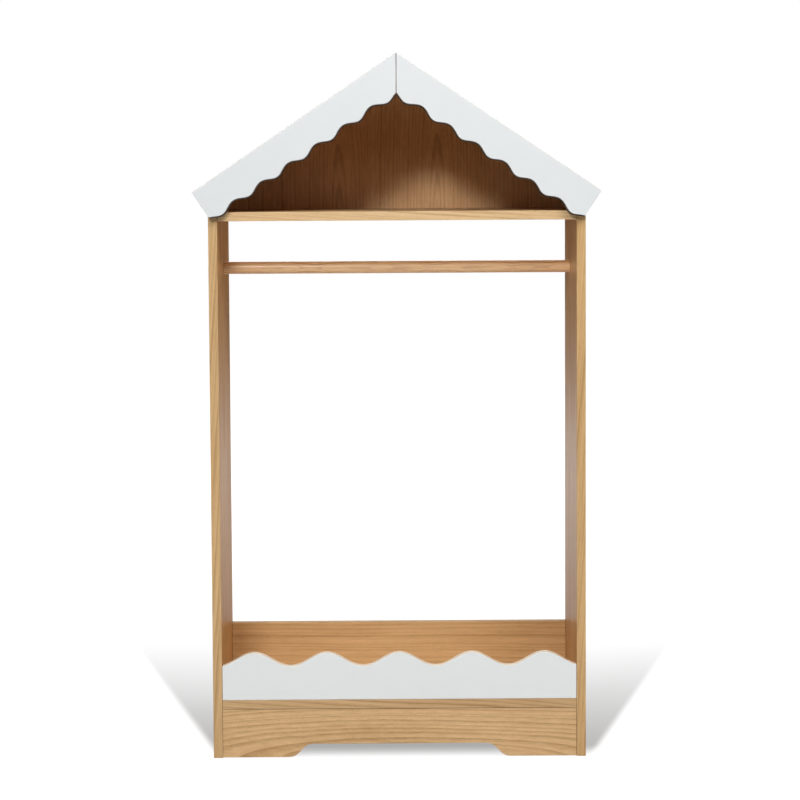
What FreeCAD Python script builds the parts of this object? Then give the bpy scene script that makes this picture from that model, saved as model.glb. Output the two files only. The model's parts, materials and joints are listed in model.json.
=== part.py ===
import FreeCAD, Part
import math
import os

Vector = FreeCAD.Vector
X_AXIS = Vector(1, 0, 0)
Y_AXIS = Vector(0, 1, 0)
Z_AXIS = Vector(0, 0, 1)
SIDES = {"left": -1, "right": 1}

# Boards, in millimetres
board = 18.0                    # laminated board of the carcass and the roof
painted_board = 18.0            # lacquered board of the fascias and the guard
edge_band = 1.0                 # band glued on the edges that show
band_radius = 0.6               # rounding of a band's outer corners
painted_radius = 1.5            # rounding of a lacquered board's edges
plinth_radius = 0.5             # eased edge round the plinth's front
butt_gap = 0.2                  # between a board's end and the panel that it meets

# Carcass
body_width = 744.0              # across the outer faces of the side panels
body_depth = 340.0              # front edge to rear edge of a side panel
front_recess = 1.0              # shelves and plinth behind the front of the side panels
guard_recess = 1.5              # guard behind the front of the side panels
rear_recess = 1.5               # shelves, gable and back board ahead of the side panels' rear
plinth_height = 97.5            # the plinth's board, from its foot to the base shelf
plinth_foot = 1.0               # the plinth's foot above the floor
cutout_height = 26.6            # top of the cut-out above the plinth's foot
cutout_width = 442.0            # of the cut-out, along its foot
cutout_angle = 46.0             # steepest slope of the cut-out's ends, in degrees
cutout_radius = 26.0            # of the two bends of each end
back_board_height = 98.5        # the low back board, on the base shelf

# Roof
ridge_height = 1400.0           # floor to ridge
roof_pitch = 34.0               # degrees
eave_overhang = 30.0            # roof beyond a side panel's outer face
knee_wall = 49.5                # side panel's inner face, from upper shelf to roof

# Scalloped fascias, measured along the slope and square to it
fascia_drop = 66.4              # mean depth of a fascia below its top edge
scallop_pitch = 65.0
scallop_swing = 5.3             # each way from the mean depth
scallop_start = 52.6            # from the ridge to the first steep part
ridge_seam = 0.8                # between the two fascias

# Guard with a wavy top
guard_middle = 81.5             # mean height of the wave above the base shelf
wave_pitch = 145.0
wave_swing = 13.4               # each way from the mean height
guard_end_gap = 0.4             # between the guard and a side panel
curve_steps = 8                 # points on one wave of a curved edge

# Hanging rail
rail_diameter = 25.0
rail_drop = 99.0                # rail's axis below the upper shelf
rail_setback = 190.0            # rail's axis behind the front edge
rail_chamfer = 0.8
rail_end_gap = 0.2              # between the rail's end and a side panel
rail_bolt = 6.0                 # thread of the bolt in each end
rail_bolt_reach = 30.0          # bolt's shank beyond the side panel
rail_bolt_head = 15.0
rail_bolt_head_height = 2.2
rail_bolt_socket = 4.0          # across the flats
rail_bolt_socket_depth = 1.4
rail_insert_diameter = 10.0
rail_insert_length = 20.0

# Fittings inside the joints
bore_clearance = 0.1            # all round a fitting in its bore
cam_diameter = 15.0
cam_setback = 34.0              # cam's axis from the end of its board
cam_inset = 62.0                # cams from the front and rear of a shelf
cam_floor = 1.0                 # of a cam, under the bolt's head
cam_slot = 1.2                  # width of the driving slots
cam_slot_depth = 1.5
cam_slot_length = 8.0
cam_cap_diameter = 18.0
cam_cap_height = 1.2
bolt_head = 7.0
bolt_shank = 5.0
bolt_grip = 11.0                # cam bolt's thread in the side panel
bolt_end_gap = 0.5              # beyond the end of a fitting in its bore
dowel_diameter = 8.0
dowel_length = 30.0
dowel_grip = 11.0               # shorter end of a dowel, in the board that it enters flat
dowel_chamfer = 1.0
dowel_inset = 26.0              # dowels from the edges of a board
gable_dowel_spacing = 240.0     # upright dowels along the foot of the gable

# Screws through the base shelf
long_screw = 4.0
long_screw_length = 45.0
long_screw_head = 8.0
long_screw_spacing = 200.0
screw_recess = 2.4              # width of the cross recess in a screw head
screw_recess_depth = 1.2

# Brackets inside the roof
plate = 2.0
bracket_leg = 30.0
bracket_width = 34.0
bracket_inset = 74.0            # ridge and eave brackets from the front and rear
fascia_bracket_from_ridge = 130.0
fascia_bracket_from_eave = 190.0
fascia_dowel_spacing = 170.0
short_screw = 3.5
short_screw_length = 14.0
short_screw_head = 7.0
short_screw_head_height = 2.0
screw_spread = 18.0             # between the two screws of one bracket leg
screw_reach = 19.0              # screws from the bend of a bracket
wall_hole_diameter = 5.5        # for the screws that hold the gable to a wall
wall_hole_spacing = 500.0
wall_hole_drop = 20.0           # wall hole's axis below the roof

# Planes and heights that follow
half_width = body_width / 2
inner_half = half_width - board
roof_half = half_width + eave_overhang
front_y = painted_board - (body_depth + painted_board) / 2
rear_y = front_y + body_depth
inner_rear = rear_y - rear_recess
pitch = math.radians(roof_pitch)
down_slope = Vector(math.cos(pitch), 0, -math.sin(pitch))
into_roof = Vector(-math.sin(pitch), 0, -math.cos(pitch))
slope_length = roof_half / math.cos(pitch)
base_under = plinth_foot + plinth_height
base_top = base_under + board
shelf_front = front_y + front_recess
guard_front = front_y + guard_recess
back_board_front = inner_rear - board
rail_y = front_y + rail_setback
cam_depth = (board + bolt_head) / 2 + cam_floor
band_rounding = min(band_radius, 0.8 * edge_band)

pieces = {}
bores = {}


def add(node, solid):
    """Put a solid in a node."""
    pieces.setdefault(node, []).append(solid)


def bore(node, tool):
    """Note a tool that is cut out of a board when all its fittings are known."""
    bores.setdefault(node, []).append(tool)


def block(low, high):
    """A box between two opposite corners."""
    size = high - low
    return Part.makeBox(size.x, size.y, size.z, low)


def rod(start, direction, diameter, length):
    """A round bar from a point, along a direction."""
    return Part.makeCylinder(diameter / 2, length, start, direction)


def hexagon_rod(start, direction, flats, length):
    """A six-sided bar from a point, along a direction across or along the object."""
    spoke = Z_AXIS * (flats / math.sqrt(3))
    turn = FreeCAD.Rotation(direction, 60)
    points = [start + spoke]
    for _ in range(6):
        spoke = turn.multVec(spoke)
        points.append(start + spoke)
    return Part.Face(Part.makePolygon(points)).extrude(direction * length)


def sheet_from(edges, y_low, y_high):
    """A board with an outline in the front view, between two planes."""
    face = Part.Face(Part.Wire(Part.__sortEdges__(edges)))
    face.translate(Y_AXIS * y_low)
    return face.extrude(Y_AXIS * (y_high - y_low))


def outline(points):
    """Straight edges through points and back to the first."""
    return Part.makePolygon(points + [points[0]]).Edges


def row(spacing, first):
    """Places to both sides of the middle, as many as fit between the side panels."""
    places = set()
    place = first
    while place < inner_half - dowel_inset:
        places |= {-place, place}
        place += spacing
    return sorted(places)


def smooth_edge(points):
    """One smooth curve through points."""
    curve = Part.BSplineCurve()
    curve.interpolate(points)
    return curve.toShape()


def round_front(shape, radius, plane):
    """Round the edges of a board that lie in one plane across the depth."""
    reach = radius / 10
    edges = [e for e in shape.Edges if abs(e.BoundBox.YMin - plane) + abs(e.BoundBox.YMax - plane) < reach]
    return shape.makeFillet(radius, edges)


def round_along_x(shape, radius, y_plane, z_planes):
    """Round the long edges of a strip where a plane across the depth meets given levels."""
    reach = radius / 10
    edges = []
    for edge in shape.Edges:
        middle = edge.BoundBox.Center
        flat = edge.BoundBox.YLength + edge.BoundBox.ZLength < reach
        level = min(abs(middle.z - z) for z in z_planes)
        if flat and abs(middle.y - y_plane) < reach and level < reach:
            edges.append(edge)
    return shape.makeFillet(radius, edges)


def on_slope(side, along, below, y):
    """A point of the roof: so far from the ridge, so far under the top, at a depth."""
    point = Z_AXIS * ridge_height + down_slope * along + into_roof * below
    return Vector(side * point.x, y, point.z)


def roof_underside(x):
    """Height of the roof's underside above the floor."""
    return ridge_height - abs(x) * math.tan(pitch) - board / math.cos(pitch)


shelf_top = roof_underside(inner_half) - knee_wall
shelf_under = shelf_top - board
rail_z = shelf_under - rail_drop


def side_panels():
    """Two upright panels with tops cut to the roof, and bands on their front and rear edges."""
    for name, side in SIDES.items():
        corners = [Vector(side * inner_half, 0, 0), Vector(side * half_width, 0, 0)]
        corners.append(Vector(side * half_width, 0, roof_underside(half_width)))
        corners.append(Vector(side * inner_half, 0, roof_underside(inner_half)))
        profile = outline(corners)
        add(f"{name}_side_panel", sheet_from(profile, front_y + edge_band, rear_y - edge_band))
        front = sheet_from(profile, front_y, front_y + edge_band)
        add(f"{name}_front_edge_band", round_front(front, band_rounding, front_y))
        rear = sheet_from(profile, rear_y - edge_band, rear_y)
        add(f"{name}_rear_edge_band", round_front(rear, band_rounding, rear_y))


def shelf(name, level):
    """One shelf between the side panels, with a band on its front edge."""
    reach = inner_half - butt_gap
    low = Vector(-reach, shelf_front + edge_band, level)
    add(name, block(low, Vector(reach, inner_rear, level + board)))
    band = block(Vector(-reach, shelf_front, level), Vector(reach, shelf_front + edge_band, level + board))
    add(f"{name}_edge_band", round_along_x(band, band_rounding, shelf_front, [level, level + board]))


def cutout_bend(foot_x, side):
    """One end of the plinth's cut-out: a bend, a straight and a bend back, from foot to top."""
    turn = math.radians(cutout_angle)
    bend_rise = cutout_radius * (1 - math.cos(turn))
    bend_run = cutout_radius * math.sin(turn)
    straight_rise = cutout_height - 2 * bend_rise
    straight_run = straight_rise / math.tan(turn)
    half_rise = cutout_radius * (1 - math.cos(turn / 2))
    half_run = cutout_radius * math.sin(turn / 2)
    whole_run = 2 * bend_run + straight_run

    def spot(run, rise):
        return Vector(side * (foot_x - run), 0, plinth_foot + rise)

    foot = spot(0, 0)
    low = spot(bend_run, bend_rise)
    high = spot(bend_run + straight_run, bend_rise + straight_rise)
    top = spot(whole_run, cutout_height)
    first = Part.Arc(foot, spot(half_run, half_rise), low)
    slope = Part.LineSegment(low, high)
    second = Part.Arc(high, spot(whole_run - half_run, cutout_height - half_rise), top)
    return [first.toShape(), slope.toShape(), second.toShape()], foot, top


def front_plinth():
    """The board under the base shelf, with a shallow cut-out along its foot."""
    reach = inner_half - butt_gap
    edges = []
    feet = {}
    tops = {}
    for name, side in SIDES.items():
        bend, feet[name], tops[name] = cutout_bend(cutout_width / 2, side)
        edges += bend
    rim = [feet["left"], Vector(-reach, 0, plinth_foot), Vector(-reach, 0, base_under)]
    rim += [Vector(reach, 0, base_under), Vector(reach, 0, plinth_foot), feet["right"]]
    edges += Part.makePolygon(rim).Edges
    edges += Part.makePolygon([tops["left"], tops["right"]]).Edges
    plinth = sheet_from(edges, shelf_front, shelf_front + board)
    add("front_plinth", round_front(plinth, plinth_radius, shelf_front))


def back_board():
    """The low board at the rear of the base shelf, with a band on its top edge."""
    reach = inner_half - butt_gap
    top = base_top + back_board_height
    low = Vector(-reach, back_board_front, base_top)
    add("back_board", block(low, Vector(reach, inner_rear, top - edge_band)))
    band = block(Vector(-reach, back_board_front, top - edge_band), Vector(reach, inner_rear, top))
    band = round_along_x(band, band_rounding, back_board_front, [top])
    add("back_board_edge_band", round_along_x(band, band_rounding, inner_rear, [top]))


def guard_top(x):
    """Height of the guard's wavy edge: a crest in the middle of the wardrobe."""
    return base_top + guard_middle + wave_swing * math.cos(2 * math.pi * x / wave_pitch)


def wave_guard():
    """The lacquered board with a wavy top that stands along the front of the base shelf."""
    reach = inner_half - guard_end_gap
    count = 2 * round(reach / wave_pitch * curve_steps)
    places = [-reach + 2 * reach * i / count for i in range(count + 1)]
    crest = [Vector(x, 0, guard_top(x)) for x in places]
    rim = [crest[0], Vector(-reach, 0, base_top), Vector(reach, 0, base_top), crest[-1]]
    edges = [smooth_edge(crest)] + Part.makePolygon(rim).Edges
    guard = sheet_from(edges, guard_front, guard_front + painted_board)
    guard = round_front(guard, painted_radius, guard_front)
    add("wave_guard", round_front(guard, painted_radius, guard_front + painted_board))


def gable_back():
    """The pointed board that closes the rear of the roof, on the upper shelf."""
    reach = inner_half - butt_gap
    corners = [Vector(-reach, 0, shelf_top), Vector(reach, 0, shelf_top)]
    corners += [Vector(x, 0, roof_underside(x)) for x in (reach, 0, -reach)]
    add("gable_back", sheet_from(outline(corners), back_board_front, inner_rear))
    hole_x = wall_hole_spacing / 2
    for side in SIDES.values():
        start = Vector(side * hole_x, back_board_front, roof_underside(hole_x) - wall_hole_drop)
        bore("gable_back", rod(start, Y_AXIS, wall_hole_diameter, board))


def roof_boards():
    """Two sloping boards that meet in a mitre at the ridge, with bands on their eaves and rear edges."""
    mitre = butt_gap / 2
    for name, side in SIDES.items():
        ridge_top = on_slope(side, mitre / math.cos(pitch), 0, 0)
        ridge_foot = Vector(side * mitre, 0, roof_underside(mitre))
        eave = [on_slope(side, slope_length, 0, 0), on_slope(side, slope_length, board, 0)]
        seat = [on_slope(side, slope_length - edge_band, below, 0) for below in (0, board)]
        roof = sheet_from(outline([ridge_top] + seat + [ridge_foot]), front_y, rear_y - edge_band)
        add(f"{name}_roof_board", roof)
        rear = sheet_from(outline([ridge_top] + eave + [ridge_foot]), rear_y - edge_band, rear_y)
        add(f"{name}_roof_rear_band", round_front(rear, band_rounding, rear_y))
        band = sheet_from(outline(eave + seat[::-1]), front_y, rear_y - edge_band)
        outer = []
        for edge in band.Edges:
            middle = edge.CenterOfMass
            along = (Vector(abs(middle.x), 0, middle.z) - Z_AXIS * ridge_height).dot(down_slope)
            if edge.BoundBox.YLength > board and along > slope_length - edge_band / 2:
                outer.append(edge)
        add(f"{name}_roof_eave_band", band.makeFillet(band_rounding, outer))


def fascia_depth(along):
    """Depth of the scalloped edge below the roof's top, so far down the slope."""
    return fascia_drop + scallop_swing * math.sin(2 * math.pi * (along - scallop_start) / scallop_pitch)


def seam_foot():
    """How far down the slope the scalloped edge meets the seam at the ridge."""
    along = fascia_drop * math.tan(pitch)
    for _ in range(40):
        along = ridge_seam / 2 / math.cos(pitch) + fascia_depth(along) * math.tan(pitch)
    return along


def fascias():
    """Two lacquered boards in front of the roof, with a scalloped lower edge."""
    first = seam_foot()
    count = round((slope_length - first) / scallop_pitch * curve_steps)
    places = [first + (slope_length - first) * i / count for i in range(count + 1)]
    lower = [on_slope(1, along, fascia_depth(along), 0) for along in places]
    rim = [lower[-1], on_slope(1, slope_length, 0, 0)]
    rim += [on_slope(1, ridge_seam / 2 / math.cos(pitch), 0, 0), lower[0]]
    edges = [smooth_edge(lower)] + Part.makePolygon(rim).Edges
    fascia = sheet_from(edges, front_y - painted_board, front_y)
    fascia = round_front(fascia, painted_radius, front_y - painted_board)
    add("right_fascia", fascia)
    add("left_fascia", fascia.mirror(Vector(0, 0, 0), X_AXIS))


def hanging_rail():
    """The timber rail, with a threaded insert and a bolt through each side panel."""
    reach = inner_half - rail_end_gap
    rail = rod(Vector(-reach, rail_y, rail_z), X_AXIS, rail_diameter, 2 * reach)
    ends = [e for e in rail.Edges if e.BoundBox.XLength < rail_chamfer]
    add("hanging_rail", rail.makeChamfer(rail_chamfer, ends))
    loose = 2 * bore_clearance
    shank = board + rail_bolt_reach
    for name, side in SIDES.items():
        inward = X_AXIS * -side
        outer = Vector(side * half_width, rail_y, rail_z)
        end = Vector(side * reach, rail_y, rail_z)
        head = rod(outer, -inward, rail_bolt_head, rail_bolt_head_height)
        rim = [e for e in head.Edges if abs(e.BoundBox.Center.x) > half_width + rail_bolt_head_height / 2]
        rim = [e for e in rim if e.BoundBox.XLength < bore_clearance]
        head = head.makeFillet(rail_bolt_head_height / 3, rim)
        tip = outer - inward * rail_bolt_head_height
        head = head.cut(hexagon_rod(tip, inward, rail_bolt_socket, rail_bolt_socket_depth))
        add("rail_bolts", head.fuse(rod(outer, inward, rail_bolt, shank)).removeSplitter())
        insert = rod(end, inward, rail_insert_diameter, rail_insert_length)
        add("rail_inserts", insert.cut(rod(end, inward, rail_bolt + loose, rail_insert_length)))
        bore(f"{name}_side_panel", rod(outer, inward, rail_bolt + loose, board))
        bore("hanging_rail", rod(end, inward, rail_insert_diameter + loose, rail_insert_length))
        bore("hanging_rail", rod(end, inward, rail_bolt + loose, rail_bolt_reach + bolt_end_gap))


def cam_lock(node, joint, side, y, z, face, capped):
    """A cam in a board's face and the bolt that it pulls, at one end of the board."""
    loose = 2 * bore_clearance
    outward = X_AXIS * side
    inner = Vector(side * inner_half, y, z)
    centre = inner - outward * (cam_setback + butt_gap)
    mouth = centre + face * (board / 2)
    cam = rod(mouth, -face, cam_diameter, cam_depth)
    cam = cam.cut(rod(centre, outward, bolt_head + loose, cam_diameter))
    across = outward.cross(face)
    for first, second in ((outward, across), (across, outward)):
        start = mouth - first * (cam_slot_length / 2) - second * (cam_slot / 2)
        groove = [start, start + first * cam_slot_length, start + first * cam_slot_length + second * cam_slot]
        groove.append(start + second * cam_slot)
        cam = cam.cut(Part.Face(Part.makePolygon(groove + [start])).extrude(face * -cam_slot_depth))
    add(f"{joint}_cam_locks", cam.Solids[0])
    length = cam_setback + butt_gap
    bolt = rod(centre, outward, bolt_head, length)
    bolt = bolt.fuse(rod(inner, outward, bolt_shank, bolt_grip)).removeSplitter()
    add(f"{joint}_cam_bolts", bolt)
    bore(node, rod(mouth, -face, cam_diameter + loose, cam_depth + bolt_end_gap))
    bore(node, rod(centre, outward, bolt_head + loose, length))
    for name, own_side in SIDES.items():
        if own_side == side:
            bore(f"{name}_side_panel", rod(inner, outward, bolt_shank + loose, bolt_grip + bolt_end_gap))
    if capped:
        cap = rod(mouth, face, cam_cap_diameter, cam_cap_height)
        rim = [e for e in cap.Edges if (e.BoundBox.Center - mouth).dot(face) > cam_cap_height / 2]
        rim = [e for e in rim if e.Closed and e.Curve.TypeId == "Part::GeomCircle"]
        add(f"{joint}_cam_caps", cap.makeFillet(cam_cap_height / 2, rim))


def dowel(joint, flat_node, end_node, mouth, direction):
    """A wooden dowel: its short end in one board's face, the rest in the end of another."""
    loose = 2 * bore_clearance
    start = mouth - direction * (dowel_length - dowel_grip)
    pin = rod(start, direction, dowel_diameter, dowel_length)
    rims = [e for e in pin.Edges if e.Closed and e.Curve.TypeId == "Part::GeomCircle"]
    add(f"{joint}_dowels", pin.makeChamfer(dowel_chamfer, rims))
    bore(flat_node, rod(mouth, direction, dowel_diameter + loose, dowel_grip + bolt_end_gap))
    bore(end_node, rod(mouth, -direction, dowel_diameter + loose, dowel_length - dowel_grip + bolt_end_gap))


def shelf_joints(node, level, capped):
    """Cams under both ends of a shelf and dowels beside them."""
    middle = level + board / 2
    for name, side in SIDES.items():
        for y in (shelf_front + cam_inset, inner_rear - cam_inset):
            cam_lock(node, node, side, y, middle, -Z_AXIS, capped)
        for y in (shelf_front + dowel_inset, inner_rear - dowel_inset):
            dowel(node, f"{name}_side_panel", node, Vector(side * inner_half, y, middle), X_AXIS * side)


def upright_joints(node, y_low, z_low, height, capped):
    """A cam in the rear face of an upright board at each end, with a dowel above and below it."""
    y = y_low + board / 2
    for name, side in SIDES.items():
        cam_lock(node, node, side, y, z_low + height / 2, Y_AXIS, capped)
        for z in (z_low + dowel_inset, z_low + height - dowel_inset):
            dowel(node, f"{name}_side_panel", node, Vector(side * inner_half, y, z), X_AXIS * side)


def plinth_top_dowels():
    """Upright dowels between the plinth and the base shelf, midway between the guard's screws."""
    y = shelf_front + board / 2
    for x in row(long_screw_spacing, long_screw_spacing / 2):
        mouth = Vector(x, y, base_under)
        dowel("front_plinth", "base_shelf", "front_plinth", mouth, Z_AXIS)


def cross_recess(tip, direction, first, second):
    """The crossed slots of a screw head, as two cutters."""
    cutters = []
    for along, across in ((first, second), (second, first)):
        width = screw_recess / 3
        corner = tip - along * (screw_recess / 2) - across * (width / 2)
        corners = [corner, corner + along * screw_recess, corner + along * screw_recess + across * width]
        corners.append(corner + across * width)
        cutters.append(Part.Face(Part.makePolygon(corners + [corner])).extrude(direction * screw_recess_depth))
    return cutters


def long_screws(joint, node, y):
    """Countersunk screws that come up through the base shelf into a board that stands on it."""
    loose = 2 * bore_clearance
    cone = (long_screw_head - long_screw) / 2
    for x in row(long_screw_spacing, 0):
        tip = Vector(x, y, base_under)
        head = Part.makeCone(long_screw_head / 2, long_screw / 2, cone, tip, Z_AXIS)
        screw = head.fuse(rod(tip, Z_AXIS, long_screw, long_screw_length)).removeSplitter()
        add(f"{joint}_screws", screw.cut(cross_recess(tip, Z_AXIS, X_AXIS, Y_AXIS)).Solids[0])
        wide = long_screw_head / 2 + bore_clearance
        narrow = long_screw / 2 + bore_clearance
        bore("base_shelf", Part.makeCone(wide, narrow, cone, tip, Z_AXIS))
        bore("base_shelf", rod(tip, Z_AXIS, long_screw + loose, board))
        reach = long_screw_length - board + bolt_end_gap
        bore(node, rod(Vector(x, y, base_top), Z_AXIS, long_screw + loose, reach))


def guard_joints():
    """One dowel in each end of the guard, and screws from below."""
    y = guard_front + painted_board / 2
    for name, side in SIDES.items():
        mouth = Vector(side * inner_half, y, base_top + dowel_inset)
        dowel("wave_guard", f"{name}_side_panel", "wave_guard", mouth, X_AXIS * side)
    long_screws("wave_guard", "wave_guard", y)


def gable_joints():
    """Dowels from the gable into the side panels and the upper shelf."""
    y = back_board_front + board / 2
    for name, side in SIDES.items():
        mouth = Vector(side * inner_half, y, shelf_top + knee_wall / 2)
        dowel("gable_back", f"{name}_side_panel", "gable_back", mouth, X_AXIS * side)
    for x in row(gable_dowel_spacing, 0):
        mouth = Vector(x, y, shelf_top)
        dowel("gable_back", "upper_shelf", "gable_back", mouth, -Z_AXIS)


def bracket(node, corner, legs, boards):
    """A bent plate in the corner between two boards, with two screws in each leg."""
    loose = 2 * bore_clearance
    first, second = legs
    along = first.cross(second)
    along.normalize()
    cosine = first.dot(second)
    sine = math.sqrt(1 - cosine * cosine)
    insides = [(second - first * cosine) / sine, (first - second * cosine) / sine]
    middle = corner + (first + second) * (plate / sine)
    points = [corner, corner + first * bracket_leg, corner + first * bracket_leg + insides[0] * plate, middle]
    points += [corner + second * bracket_leg + insides[1] * plate, corner + second * bracket_leg]
    face = Part.Face(Part.makePolygon(points + [corner]))
    face.translate(along * (-bracket_width / 2))
    bent = face.extrude(along * bracket_width)
    for leg, inside, board_node in zip(legs, insides, boards):
        for offset in (-screw_spread / 2, screw_spread / 2):
            seat = corner + leg * screw_reach + along * offset + inside * plate
            head = rod(seat, inside, short_screw_head, short_screw_head_height)
            tip = seat + inside * short_screw_head_height
            head = head.cut(cross_recess(tip, -inside, leg, along))
            screw = head.fuse(rod(seat, -inside, short_screw, short_screw_length)).removeSplitter()
            add("bracket_screws", screw.Solids[0])
            hole = rod(seat, -inside, short_screw + loose, short_screw_length + bolt_end_gap)
            bent = bent.cut(hole)
            bore(board_node, hole)
    add(node, bent.Solids[0])


def roof_brackets():
    """Brackets at the ridge, at the eaves and behind the fascias."""
    ways = {side: Vector(side * down_slope.x, 0, down_slope.z) for side in SIDES.values()}
    for y in (front_y + bracket_inset, rear_y - bracket_inset):
        ridge = Vector(0, y, roof_underside(0))
        bracket("ridge_brackets", ridge, [ways[-1], ways[1]], ["left_roof_board", "right_roof_board"])
        for name, side in SIDES.items():
            eave = Vector(side * inner_half, y, roof_underside(inner_half))
            boards = [f"{name}_side_panel", f"{name}_roof_board"]
            bracket("eave_brackets", eave, [-Z_AXIS, -ways[side]], boards)
    for name, side in SIDES.items():
        square = Vector(side * into_roof.x, 0, into_roof.z)
        for along in (fascia_bracket_from_ridge, slope_length - fascia_bracket_from_eave):
            corner = on_slope(side, along, board, front_y)
            bracket("fascia_brackets", corner, [square, Y_AXIS], [f"{name}_fascia", f"{name}_roof_board"])


def fascia_joints():
    """Dowels from the front edge of each roof board into its fascia."""
    for name, side in SIDES.items():
        for step in (-1, 0, 1):
            along = slope_length / 2 + step * fascia_dowel_spacing
            mouth = on_slope(side, along, board / 2, front_y)
            dowel("fascia", f"{name}_fascia", f"{name}_roof_board", mouth, -Y_AXIS)


def write_parts():
    """Cut the bores and write one file for each node."""
    os.makedirs("parts", exist_ok=True)
    for node, solids in pieces.items():
        if node in bores:
            solids = solids[0].cut(bores[node]).Solids
        shape = solids[0] if len(solids) == 1 else Part.makeCompound(solids)
        shape.exportStep(f"parts/{node}.step")


side_panels()
shelf("upper_shelf", shelf_under)
shelf("base_shelf", base_under)
front_plinth()
back_board()
wave_guard()
gable_back()
roof_boards()
fascias()
hanging_rail()
shelf_joints("upper_shelf", shelf_under, True)
shelf_joints("base_shelf", base_under, False)
upright_joints("front_plinth", shelf_front, plinth_foot, plinth_height, False)
upright_joints("back_board", back_board_front, base_top, back_board_height, True)
plinth_top_dowels()
guard_joints()
long_screws("back_board", "back_board", back_board_front + board / 2)
gable_joints()
roof_brackets()
fascia_joints()
write_parts()
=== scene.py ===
import json
import math
from dataclasses import dataclass, replace
from functools import partial

import bmesh
import bpy
import numpy as np
from mathutils import Matrix, Vector


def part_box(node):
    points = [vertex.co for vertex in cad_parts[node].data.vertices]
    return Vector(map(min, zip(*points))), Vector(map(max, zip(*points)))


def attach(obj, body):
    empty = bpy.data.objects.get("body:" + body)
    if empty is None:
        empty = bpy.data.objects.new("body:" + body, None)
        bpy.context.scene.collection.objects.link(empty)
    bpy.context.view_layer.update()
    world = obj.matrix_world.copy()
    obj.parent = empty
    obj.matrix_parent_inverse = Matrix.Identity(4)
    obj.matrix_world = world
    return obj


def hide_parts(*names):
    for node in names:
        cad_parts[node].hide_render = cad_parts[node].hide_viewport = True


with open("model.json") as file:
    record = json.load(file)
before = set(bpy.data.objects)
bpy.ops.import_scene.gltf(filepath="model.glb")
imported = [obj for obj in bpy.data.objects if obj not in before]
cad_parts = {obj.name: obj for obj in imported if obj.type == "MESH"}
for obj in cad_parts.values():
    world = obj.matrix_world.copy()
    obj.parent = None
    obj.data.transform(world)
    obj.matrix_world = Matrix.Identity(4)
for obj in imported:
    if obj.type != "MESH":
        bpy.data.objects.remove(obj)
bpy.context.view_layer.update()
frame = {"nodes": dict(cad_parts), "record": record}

bl_info = {
    "name": "House-shaped kids wardrobe",
    "version": (1, 0, 0),
    "blender": (4, 5, 0),
    "location": "View3D > Sidebar > Wardrobe",
    "description": "Finishes, fittings and studio stage of an open wardrobe for a child's room",
    "category": "Object",
}

BODY = "root"
SIDES = {"left": -1, "right": 1}
FULL_TURN = 2 * math.pi
IMAGE_WIDTH = 800               # pixels, of a square picture
WELD = 1e-5                     # corners closer than this are one corner
SHARP = math.radians(40)        # faces that meet at more than this have a crease between them
BEVEL_LIMIT = math.radians(35)  # edges that turn by more than this are rounded
BEVEL_STEPS = 4                 # faces across a rounded edge
WAVE_STEPS = 241                # corners along the guard's top
SCALLOP_STEPS = 281             # corners along a fascia's lower edge
SEAM_ROUNDS = 40                # rounds of working out where the scallops meet the ridge seam
BORE_SIDES = 40                 # faces round a bore
SHANK_SIDES = 16                # faces round a screw or bolt
THREAD_STEPS = 4                # rows of faces for each turn of a thread
SCREW_TIP = 0.15                # width of a screw's tip, as a share of its shank's
STRAIGHT = 0.99                 # a fitting whose axis is this close to X, Y or Z lies along it
END_SHARE = 0.1                 # share of a fitting's length that counts as its end
VIEW_LIMIT = 200.0              # how far the camera sees


# Node trees

class Socket:
    """One output of a node tree. Arithmetic on it adds Math nodes to that tree."""

    def __init__(self, graph, output):
        self.graph = graph
        self.output = output

    def math(self, operation, *values):
        """A Math node on these values, in this order."""
        return self.graph.add("ShaderNodeMath", {"operation": operation}, dict(enumerate(values)))

    def __add__(self, other):
        return self.math("ADD", self, other)

    def __radd__(self, other):
        return self.math("ADD", other, self)

    def __sub__(self, other):
        return self.math("SUBTRACT", self, other)

    def __rsub__(self, other):
        return self.math("SUBTRACT", other, self)

    def __mul__(self, other):
        return self.math("MULTIPLY", self, other)

    def __rmul__(self, other):
        return self.math("MULTIPLY", other, self)

    def __truediv__(self, other):
        return self.math("DIVIDE", self, other)

    def __pow__(self, exponent):
        return self.math("POWER", self, exponent)

    def __abs__(self):
        return self.math("ABSOLUTE", self)

    def floor(self):
        """The whole number below."""
        return self.math("FLOOR", self)

    def fraction(self):
        """What is left above the whole number below."""
        return self.math("FRACT", self)

    def sine(self):
        """The sine of an angle in radians."""
        return self.math("SINE", self)

    def cosine(self):
        """The cosine of an angle in radians."""
        return self.math("COSINE", self)

    def at_least(self, other):
        """The larger of two values."""
        return self.math("MAXIMUM", self, other)

    def at_most(self, other):
        """The smaller of two values."""
        return self.math("MINIMUM", self, other)

    def above(self, other):
        """One where this value is the larger, else zero."""
        return self.math("GREATER_THAN", self, other)

    def rise(self, low, high):
        """Zero below low, one above high, and a smooth step between."""
        settings = {"interpolation_type": "SMOOTHSTEP"}
        values = {"Value": self, "From Min": low, "From Max": high}
        return self.graph.add("ShaderNodeMapRange", settings, values)


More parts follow.
